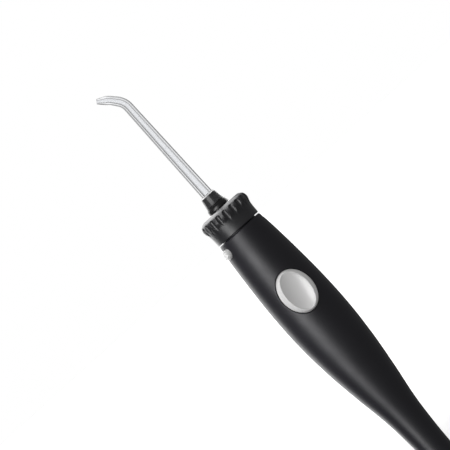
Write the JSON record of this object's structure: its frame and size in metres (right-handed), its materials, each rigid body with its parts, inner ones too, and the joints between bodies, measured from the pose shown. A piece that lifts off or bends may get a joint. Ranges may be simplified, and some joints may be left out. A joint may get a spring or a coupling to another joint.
{
  "type": "water flosser handset",
  "caption": "Slim tapered water flosser handset with an oval pause button, a knurled turning collar and a removable clear jet tip with a bent nozzle.",
  "frame": {"origin": "centre of the mouth of the hose gland, on the tail's end face", "axes": "+Z along the handle towards the jet tip, -Y out of the pause button, and the eject button is on the -X side, turned 22 degrees towards -Y; at rest the nozzle turns towards -X"},
  "size_m": [0.0306, 0.0311, 0.2322],
  "materials": {
    "body_black": "satin moulded plastic with a very fine texture",
    "collar_black": "semi-gloss moulded plastic",
    "tip_black": "semi-gloss moulded plastic",
    "tip_clear": "clear polished plastic",
    "pause_grey": "satin pale grey plastic",
    "eject_white": "semi-gloss white plastic",
    "nylon_grey": "natural acetal",
    "nylon_white": "natural white acetal",
    "inner_black": "glass-filled nylon",
    "hose_silicone": "translucent silicone",
    "seal_rubber": "nitrile rubber",
    "steel": "drawn stainless steel"
  },
  "bodies": {
    "handle": {"front_shell": "body_black", "back_shell": "body_black", "tail_cap": "body_black", "inlet_fitting": "nylon_grey", "supply_tube": "hose_silicone", "lower_tube_clamp": "steel", "upper_tube_clamp": "steel", "valve_body": "nylon_grey", "valve_plug": "inner_black", "pause_spring": "steel", "valve_screws": "steel", "port_seal": "seal_rubber", "tip_socket": "nylon_grey", "tip_seal": "seal_rubber", "latch_clip": "steel", "neck_bearing": "inner_black", "eject_spring": "steel"},
    "collar": {"rotation_collar": "collar_black", "collar_clip": "steel", "collar_drag_ring": "seal_rubber"},
    "tip": {"jet_tip": "tip_clear", "tip_base": "tip_black", "tip_id_ring": "tip_black"},
    "eject": {"eject_button": "eject_white", "eject_pusher": "nylon_grey"},
    "pause": {"pause_button": "pause_grey", "valve_plunger": "nylon_white", "plunger_seals": "seal_rubber", "plunger_pin": "steel"}
  },
  "joints": [
    {"name": "collar_spin", "type": "hinge", "parent": "handle", "child": "collar", "pos_m": [0, 0, 0.149], "axis": [0, 0, 1], "continuous": true},
    {"name": "tip_pull", "type": "slide", "parent": "collar", "child": "tip", "axis": [0, 0, 1], "range_m": [0, 0.03], "deforming": ["latch_clip"]},
    {"name": "eject_press", "type": "slide", "parent": "handle", "child": "eject", "axis": [0.9272, 0.3746, 0], "range_m": [0, 0.0015], "stiffness_N_per_m": 600, "springref_m": -0.002, "deforming": ["eject_spring", "latch_clip"]},
    {"name": "pause_press", "type": "slide", "parent": "handle", "child": "pause", "axis": [0, 1, 0], "range_m": [0, 0.0026], "stiffness_N_per_m": 500, "springref_m": -0.003, "deforming": ["pause_spring"]}
  ]
}
